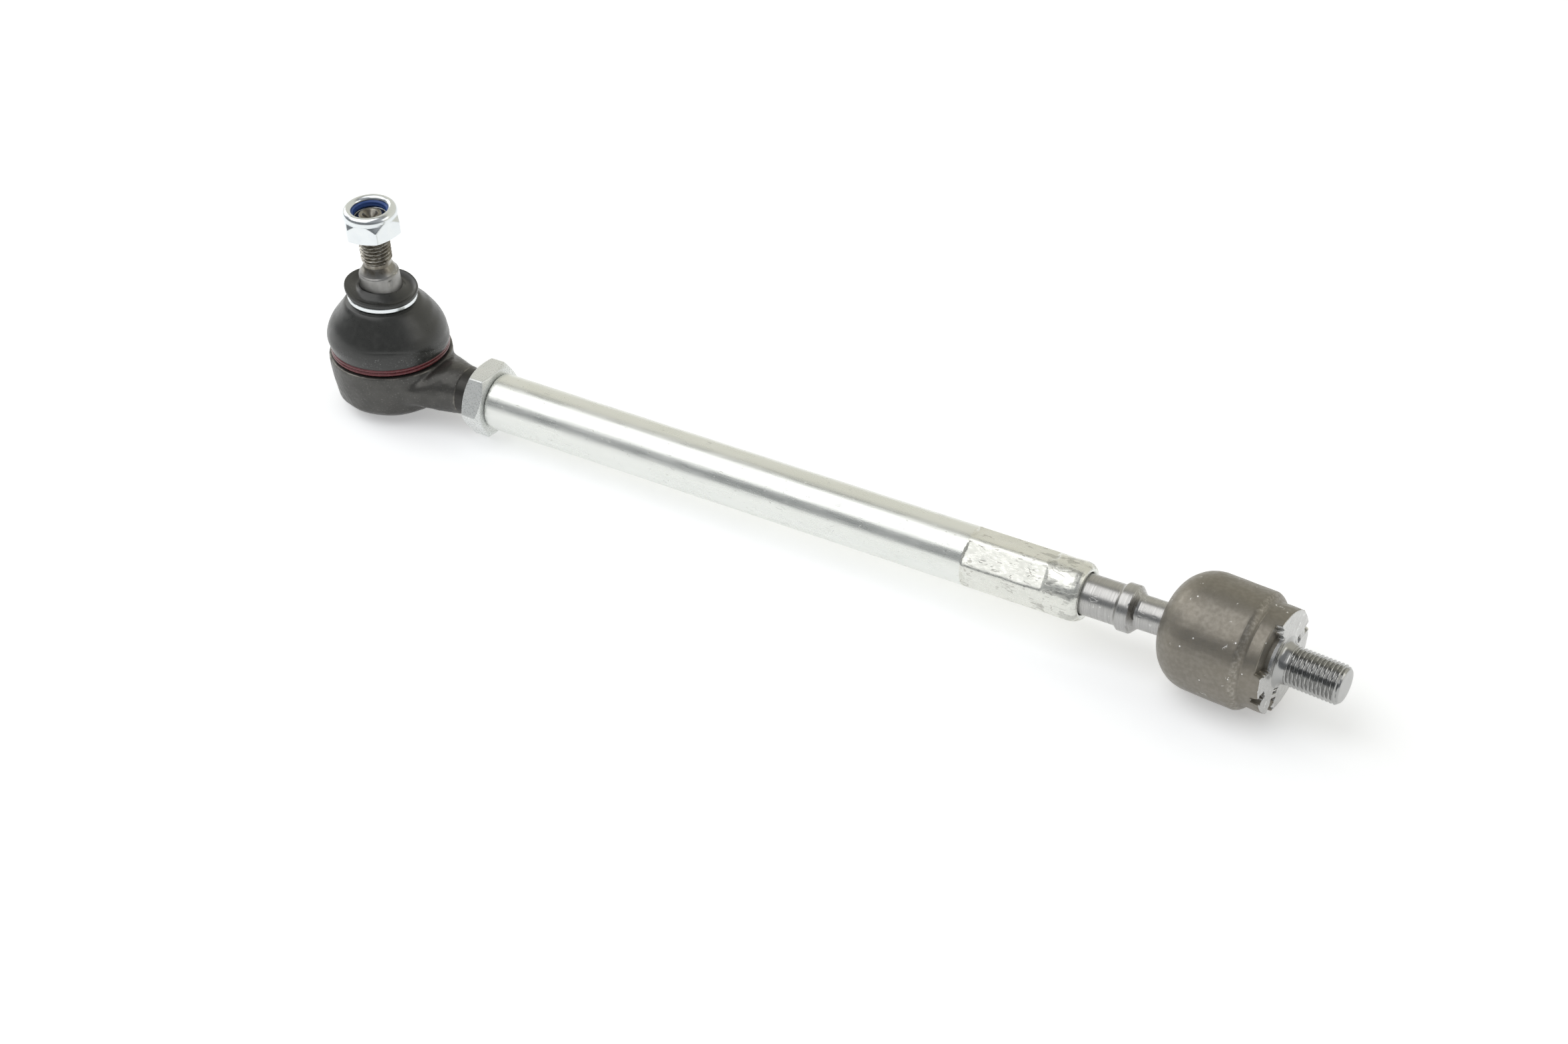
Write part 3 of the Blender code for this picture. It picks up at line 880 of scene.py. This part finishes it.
def dust_boot(material):
    """Rubber boot with a groove for the base ring, a bell, a ringed neck and a loose lip."""
    foot = [(16.75, 4.85), (17.6, 4.85), (17.6, 7.0)]
    bell = curve([(18.75, 7.15), (19.3, 7.75), (19.55, 9.4), (19.5, 11.4), (19.05, 13.5), (17.9, 16.2),
                  (15.9, 19.3), (14.0, 21.8), (12.9, 23.2), (12.2, 23.9)], 8)
    neck = [(11.0, 24.35), (10.25, 24.6), (10.25, 26.55)]
    lip = curve([(10.6, 26.6), (11.35, 27.15), (11.75, 28.2), (11.62, 28.98), (11.2, 29.05), (10.4, 28.7),
                 (9.3, 28.45), (8.2, 28.65), (7.35, 29.2), (SHANK_R + 0.02, 29.6)], 5)
    inside = [(SHANK_R + 0.02, 24.6)] + curve([(9.4, 22.8), (12.2, 20.7), (14.6, 17.8), (16.5, 14.4),
                                              (17.2, 11.5), (17.2, 9.4)], 3) + [(16.75, 8.2)]
    outline = fine(foot + bell + neck + lip + inside, 0.45)

    def shape(r, z, a):
        """A crease across the camera's side, soft flutter and the wavy neck and lip."""
        crease_z = 8.2 + 6.0 * smooth((RIGHT - np.degrees((a + math.pi) % TURN - math.pi)) / 90)
        beyond = np.degrees((a - math.radians(FRONT) + math.pi) % TURN - math.pi)
        shown = smooth((beyond + 22) / 25) * smooth((130 - beyond) / 30)
        outer = r > 17.5
        crease = np.exp(-((z - crease_z) / 0.3) ** 2) * shown * outer
        band = smooth((crease_z - z) / 0.8) * shown * outer * smooth((z - 7.2) / 0.8)
        flutter = 0.05 * lumps(r * np.cos(a), r * np.sin(a), z, 14, 5) * smooth((z - 8) / 3)
        raised = z + neck_tilt(z, a) + lip_droop(r, z, a)
        return r - 0.10 * crease - 0.06 * band + flutter, raised

    piece = turned("dust_boot_rubber", outline, BALL, [material], 216, shape, bend=lean)
    ball = Vector(JOINTS["outer_tilt"]["pos_m"])
    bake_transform(piece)
    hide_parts("dust_boot")


def boot_rings(zinc, red):
    """Flat zinc ring on the boot's neck and a red wire with two turns round its foot."""
    band = [(10.3, 24.7), (11.2, 24.7), (11.2, 26.4), (10.3, 26.4)]

    def follow(r, z, a):
        return r, z + neck_tilt(z, a)

    neck = turned("boot_neck_ring_zinc", fine(rounded(band, 0.35, 5), 0.4), STUD, [zinc], 180, follow)
    ride_as(neck, "boot_top", "boot_neck_ring")
    low = RIM_Z - 0.12 - JOINTS["outer_tilt"]["pos_m"][2] / MM

    def height(angle):
        """Each turn lies on the one below it."""
        return low + WIRE / 2 + (WIRE - 0.02) * angle / TURN * 0.97

    foot = swept_ring("boot_base_ring_wire", WIRE_R, height, WIRE, 2.03, BALL, [red], FRONT + 180)
    ride_as(foot, "housing", "boot_base_ring")


def nyloc_nut(zinc, nylon):
    """Hexagon nut with a rolled crown that holds the nylon insert."""
    corner = NUT_FLATS / math.sqrt(3) + 0.05
    nut = [(5.1, NUT_LOW + 0.5), (5.7, NUT_LOW), (8.35, NUT_LOW), (corner, NUT_LOW + 0.6)]
    nut += [(corner, NUT_CHAMFER), (NUT_CROWN_R, NUT_CROWN - 0.35), (NUT_CROWN_R - 0.2, NUT_CROWN)]
    nut += curve([(NUT_CROWN_R - 0.1, 56.3), (NUT_CROWN_R, 56.8), (8.65, 57.6), (8.2, 58.35), (7.5, 58.8),
                  (6.8, 58.82), (6.2, 58.55), (5.85, 58.1), (5.8, 57.7)], 5)
    nut += [(7.4, 57.6), (7.4, 55.4), (5.1, 55.4)]
    outline = fine(rounded(nut, 0.16, 3), 0.18)
    hexed = hexagon(NUT_FLATS, NUT_CORNER)

    def shape(r, z, a):
        """Flats up to the round crown."""
        cut_r, z = hexed(r, z, a)
        return np.where(z < NUT_CROWN, cut_r, r), z

    piece = turned("nyloc_nut_crowned", outline, STUD, [zinc], 360, shape)
    ride_as(piece, "nut", "nyloc_nut")
    ring = [(5.12, 55.6), (7.35, 55.6), (7.35, 57.55), (5.5, 57.6), (5.12, 57.1)]

    def grooves(r, z, a):
        """Thread marks cut in the insert's bore."""
        phase = (z / STUD_PITCH - a / TURN) % 1.0
        return np.where(r < 5.6, r + 0.12 * np.abs(2 * phase - 1), r), z

    insert = turned("nylon_insert_ring", fine(rounded(ring, 0.25), 0.12), STUD, [nylon], 144, grooves)
    ride_as(insert, "insert", "nylon_insert")


# ---------------------------------------------------------------- rod

def lock_nut(zinc):
    """Thin hexagon nut, chamfered on both faces."""
    low, high = (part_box("lock_nut")[k].x / MM for k in (0, 1))
    corner = LOCK_FLATS / math.sqrt(3) + 0.05
    nut = [(7.9, low), (10.7, low), (corner, low + 1.15), (corner, high - 1.15), (10.7, high)]
    nut += [(7.6, high), (7.1, high - 0.5), (7.1, low + 0.8)]
    outline = fine(rounded(nut, 0.2, 3), 0.2)
    hexed = hexagon(LOCK_FLATS, LOCK_CORNER, 90)
    piece = turned("lock_nut_chamfered", outline, ROD, [zinc], 360, hexed)
    ride_as(piece, "jam", "lock_nut")


def adjuster_tube(zinc, pressed):
    """Long tube with six pressed wrench flats and a dented round collar at its end."""
    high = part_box("adjuster_tube")[1].x / MM
    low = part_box("lock_nut")[1].x / MM + TUBE_GAP
    tube = [(7.9, low), (TUBE_R - 0.7, low), (TUBE_R - 0.1, low + 0.6), (TUBE_R, low + 1.5)]
    tube += [(TUBE_R, high - 2.6), (TUBE_R - 0.35, high - 1.1), (TUBE_R - 1.1, high - 0.15)]
    tube += [(TUBE_R - 1.6, high), (7.0, high), (6.5, high - 0.5), (6.5, 206.0), (7.3, 204.0)]
    tube += [(7.3, low + 0.6)]
    zones = [(WRENCH_X[0] - 3, high, 0.3), (low - 1, low + 3, 0.25)]
    outline = fine(rounded(tube, 0.3, 4), 4.0, zones)
    centres = [math.radians(WRENCH_CENTRE + 60 * k) for k in range(6)]
    sharpness = 110

    def shape(r, z, a):
        """Slightly uneven flats with ragged ends, a dented collar and a chewed start."""
        x, y = r * np.cos(a), r * np.sin(a)
        outer = smooth((r - 7.6) / 0.8)
        uneven = 0.06 * lumps(x, y, z, 9, 21) + 0.012 * lumps(x, y, z, 2.6, 22)
        start = smooth((z - WRENCH_X[0] + 0.25 * lumps(x, y, 0 * z, 5, 2)) / 0.7)
        end = smooth((WRENCH_X[1] + 0.9 - z + 0.6 * lumps(x, y, 0 * z, 6, 3)) / 2.6)
        lift = (1 - start * end) * 1.1
        half = WRENCH_FLATS / 2 + uneven + lift
        total = 1.0
        for centre in centres:
            total = total + (r * np.maximum(np.cos(a - centre), 0) / half) ** sharpness
        flats = r * total ** (-1 / sharpness)
        rough_end = smooth((z - WRENCH_X[1]) / 3)
        dents = rough_end * (0.08 * lumps(x, y, z, 6.5, 31) + 0.025 * lumps(x, y, z, 2.0, 32) - 0.05)
        chewed = smooth((low + 1.5 - z) / 1.5) * 0.10 * lumps(x, y, z, 1.6, 33)
        return np.where(r > TUBE_SKIN_R, flats + outer * (dents + chewed - 0.02), r), z

    def slots(r, z, a):
        """Pressed zinc from the flats on, drawn zinc before them and in the bore."""
        return 1 if z > WRENCH_X[0] - 0.1 and r > TUBE_SKIN_R else 0

    piece = turned("adjuster_tube_drawn", outline, ROD, [zinc, pressed], 300, shape, slots)
    ride_as(piece, "tube", "adjuster_tube")


def inner_rod(steel):
    """Rod with its collar and neck, ending in the inner ball."""
    neck = -math.degrees(math.acos(NECK_R / INNER_BALL_R))
    rod = [(0, 216.0), (ROD_R - 0.8, 216.0), (ROD_R, 216.8), (ROD_R, 261.6), (6.38, 262.0), (6.75, 262.35)]
    rod += [(COLLAR_R, 263.0), (COLLAR_R, 266.35), (NECK_R + 0.35, 268.1), (NECK_R, 268.7)]
    rod += arc((0, INNER_BALL_X), INNER_BALL_R, neck, 90, 22)
    outline = fine(rounded(rod, 0.12, 3), 2.5, [(251, 286, 0.25)])

    def shape(r, z, a):
        """Chips on the collar's chamfer and a scuff on the neck."""
        x, y = r * np.cos(a), r * np.sin(a)
        chamfer = smooth((z - 266.0) / 0.4) * smooth((268.4 - z) / 0.6)
        chip = chamfer * smooth((lumps(x, y, z, 3.4, 41) - 0.35) / 0.4)
        neck = smooth((z - 268.6) / 1) * smooth((282 - z) / 2)
        scuff = neck * smooth((lumps(x, y, z * 0.4, 2.2, 42) - 0.55) / 0.3)
        return r - 0.22 * chip - 0.05 * scuff, z

    piece = turned("inner_rod_turned", outline, ROD, [steel], 180, shape)
    ride_as(piece, "rod", "inner_rod")


def inner_housing(skin, machined):
    """Cup closed round the ball, with its step, notched flange and M12 x 1.25 end."""
    cup = [(10.55, -17.7), (10.75, -18.0)] + arc((6.2, -7.2), 11.8, -66, 0, 20)
    cup += [(CUP_R, -3.0), (CUP_R, 3.0), (CUP_R, 7.6)]
    cup += curve([(17.93, 8.15), (17.65, 8.75), (17.2, 9.4), (16.6, 10.05), (16.0, 10.5)], 4)
    cup += [(FLANGE_R, 10.75), (FLANGE_R, 11.1)]
    cup += [(FLANGE_R, FLANGE_END - 0.35), (FLANGE_R - 0.35, FLANGE_END), (8.6, FLANGE_END)]
    cup += curve([(7.5, 16.95), (6.7, 17.5), (6.2, 18.3), (INNER_THREAD_R - 0.05, 19.4)], 4)
    cup += [(INNER_THREAD_R, 19.9), (INNER_THREAD_R, INNER_END - 1.1), (5.02, INNER_END), (0, INNER_END)]
    cup += [(0, 14.2), (8.6, 14.2)] + arc((0, 0), 13.05, 48.8, -46, 12) + [(9.9, -12.0)]
    zones = [(19.3, INNER_END, 0.11), (11.5, 17.5, 0.22), (-19, 11.5, 0.6)]
    outline = fine(rounded(cup, 0.1, 2), 1.5, zones)
    screw = thread(19.4, INNER_END + 1, INNER_THREAD_R, INNER_PITCH)
    # Radius at the floor's inner end, start and end in degrees from local +Y, and depth
    notches = [(9.6, 104, 166, 2.0), (12.4, -168, -155, 2.4), (11.2, -121, -104, 2.2), (12.8, 8, 20, 2.2)]

    def shape(r, z, a):
        """The end's thread, soft lumps on the skin, and the notches in the face with their burrs."""
        r, z = screw(r, z, a)
        x, y = r * np.cos(a), r * np.sin(a)
        outer = (r > 13.4) | (z > 14.3)
        body = outer & (z < FLANGE_LOW)
        r = r + np.where(body, 0.05 * lumps(x, y, z, 9, 51) + 0.02 * lumps(x, y, z, 2.5, 52), 0)
        face = (z > FLANGE_END - 0.5) & (z < FLANGE_END + 0.1) & (r > 8)
        side = (r > 15) & (z > FLANGE_LOW)
        local = np.degrees((a - math.pi / 2 + math.pi) % TURN - math.pi)
        cut = np.zeros_like(z)
        burr = np.zeros_like(z)
        for inside, start, end, depth in notches:
            wobble = 0.35 * lumps(r, 0 * r, 0 * r, 2.0, int(start) + 400)
            apart = np.minimum(local - start, end - local) * r * math.pi / 180 + wobble
            inward = np.maximum(r - inside, 0)
            within = smooth(apart / 0.35) * np.where(side, 1.0, smooth((inward + wobble) / 0.35))
            cut = np.maximum(cut, within * depth)
            rim = np.exp(-((apart + 0.25) / 0.35) ** 2) * (r > inside - 0.4)
            burr = np.maximum(burr, rim * (0.5 + 0.5 * lumps(x, y, 0 * r, 1.4, 61)))
        thickness = FLANGE_END - FLANGE_LOW
        squeezed = FLANGE_LOW + (z - FLANGE_LOW) * (thickness - cut) / thickness
        z = np.where(side & outer, squeezed, np.where(face, z - cut, z))
        z = z + np.where(face, 0.22 * burr + 0.035 * lumps(x, y, 0 * z, 2.4, 62), 0)
        r = r + np.where(side & outer & (z > 12.5), 0.05 * lumps(x, y, z, 3, 63), 0)
        return r, z

    def slots(r, z, a):
        """The face and notch walls are cut, notch floors keep the skin, the thread is bright."""
        if z > FLANGE_END - 0.3 and r < FLANGE_R - 0.1:
            return 2 if r < 8.0 else 1
        return 1 if z > FLANGE_END - 1.0 and r < FLANGE_R - 0.3 else 0

    materials = [skin, machined, bright_thread()]
    piece = turned("inner_housing_cup", outline, INNER, materials, 300, shape, slots)
    ride_as(piece, "inner_end", "inner_housing")


def finish_hidden_nodes(plastic, spring):
    """Pieces inside the joints keep their CAD shapes and get a material of their own."""
    shells = ("bearing_shell", "thrust_pad", "inner_bearing_shell", "inner_thrust_pad")
    springs = ("preload_spring", "inner_preload_washer")
    for names, material in ((shells, plastic), (springs, spring)):
        for name in names:
            frame["nodes"][name].data.materials.clear()
            frame["nodes"][name].data.materials.append(material)


# ---------------------------------------------------------------- studio

def floor_plane():
    """Pale table that touches the outer housing's foot and the inner housing's underside."""
    foot = Vector((-11.7, 0, 0)) * MM
    cup = Vector((292.0, 0, -6.1)) * MM
    slope = math.atan2(cup.z - foot.z, cup.x - foot.x)
    half = 8.0
    corners = [(-half, -half, 0), (half, -half, 0), (half, half, 0), (-half, half, 0)]
    mesh = bpy.data.meshes.new("table")
    mesh.from_pydata(corners, [], [(0, 1, 2, 3)])
    table = linked("table", mesh, Matrix.Translation(foot) @ Matrix.Rotation(-slope, 4, "Y"))
    f = Finish("table_paper", 0.0, Emission_Color=(1.0, 1.0, 1.0, 1.0), Emission_Strength=0.36)
    cloud = f.noise(120.0, 2.0)
    f.colour(f.mix(cloud, (0.855, 0.865, 0.88), (0.87, 0.88, 0.89)))
    f.rough(cloud, 0.6, 0.7)
    mesh.materials.append(f.material)


def softbox(name, centre, target, width, depth, radiance, colour):
    """A large soft light, as bright as radiance in reflections whatever its size."""
    light = bpy.data.lights.new(name, "AREA")
    light.shape = "RECTANGLE"
    light.size = width
    light.size_y = depth
    light.energy = radiance * math.pi * width * depth
    light.color = colour
    lamp = linked(name, light)
    lamp.location = centre
    lamp.rotation_euler = (Vector(target) - Vector(centre)).to_track_quat("-Z", "Y").to_euler()


def studio_world():
    """Walls round the table, as a ramp of angles about the X axis.

    0 is overhead, -90 level behind the table and 90 level on the camera's side. The ramp is
    cream behind, grey-blue overhead, dark low on the camera's side and pale below.
    """
    world = bpy.data.worlds.new("studio")
    bpy.context.scene.world = world
    world.use_nodes = True
    tree = world.node_tree

    def node(kind, *sources):
        """A new node whose first inputs are fed by the given sockets."""
        made = tree.nodes.new(kind)
        for socket, source in zip(made.inputs, sources):
            tree.links.new(source, socket)
        return made

    direction = node("ShaderNodeTexCoord").outputs["Generated"]
    parts = node("ShaderNodeSeparateXYZ", direction)
    forward = node("ShaderNodeMath", parts.outputs["Y"])
    forward.operation = "MULTIPLY"
    forward.inputs[1].default_value = -1.0
    angle = node("ShaderNodeMath", forward.outputs[0], parts.outputs["Z"])
    angle.operation = "ARCTAN2"
    share = node("ShaderNodeMapRange", angle.outputs[0])
    share.inputs["From Min"].default_value = -math.pi
    share.inputs["From Max"].default_value = math.pi
    ramp = node("ShaderNodeValToRGB", share.outputs[0])
    below = (0.7, 0.7, 0.7)
    overhead = (0.36, 0.37, 0.385)
    dark = (0.19, 0.20, 0.21)
    stops = [(-180, below), (-95, (0.76, 0.75, 0.68)), (-35, (0.76, 0.745, 0.66)),
             (-18, (0.28, 0.28, 0.26)), (-5, overhead), (50, overhead), (60, dark),
             (82, dark), (100, (0.5, 0.52, 0.54)), (180, below)]
    elements = ramp.color_ramp.elements
    while len(elements) < len(stops):
        elements.new(0.5)
    for element, (degrees, colour) in zip(elements, stops):
        element.position = (degrees + 180) / 360
        element.color = (*colour, 1.0)
    background = tree.nodes["Background"]
    tree.links.new(ramp.outputs[0], background.inputs["Color"])
    background.inputs["Strength"].default_value = 1.0


def studio_lights():
    """A softbox overhead on the camera's side, and one beyond each end of the rod."""
    target = (0.15, 0.0, 0.01)
    top_x = -0.62
    lean_forward = math.radians(21)
    reach = 1.35
    centre = (top_x, -reach * math.sin(lean_forward), reach * math.cos(lean_forward))
    softbox("top_softbox", centre, (top_x, 0, 0), 1.9, 1.45, 1.45, (1.0, 0.995, 0.985))
    softbox("left_softbox", (-1.9, 0.4, 1.1), target, 1.2, 1.1, 1.9, (0.98, 0.99, 1.0))
    softbox("right_softbox", (2.1, 0.4, 1.1), target, 1.2, 1.0, 1.0, (1.0, 0.985, 0.96))


def photo_camera():
    """The photograph's fitted camera, above the table and looking down on the rod from +X, -Y."""
    camera = bpy.data.cameras.new("camera")
    camera.lens = 65.35
    camera.sensor_width = 36.0
    camera.clip_start = 0.01
    camera.clip_end = 50.0
    right = Vector((0.86378, 0.50385, -0.00364)).normalized()
    ahead = Vector((-0.41337, 0.70450, -0.57690)).normalized()
    up = right.cross(ahead).normalized()
    matrix = Matrix((right, up, -ahead)).transposed().to_4x4()
    matrix.translation = (0.5118, -0.6191, 0.5085)
    bpy.context.scene.camera = linked("camera", camera, matrix)


# ---------------------------------------------------------------- the whole scene

bright = bright_zinc()
steel = stud_steel()
outer_housing(forged_black(), dark_stub())
closing_plate(bright)
ball_stud(steel)
dust_boot(rubber())
boot_rings(bright, red_wire())
nyloc_nut(bright, blue_nylon())
lock_nut(lock_zinc())
adjuster_tube(tube_zinc(), pressed_zinc())
inner_rod(turned_steel())
inner_housing(forged_brown(), machined_face())
finish_hidden_nodes(bearing_plastic(), spring_steel())

floor_plane()
studio_world()
studio_lights()
photo_camera()
bpy.context.scene.view_settings.view_transform = "Standard"
bpy.context.scene.view_settings.look = "None"
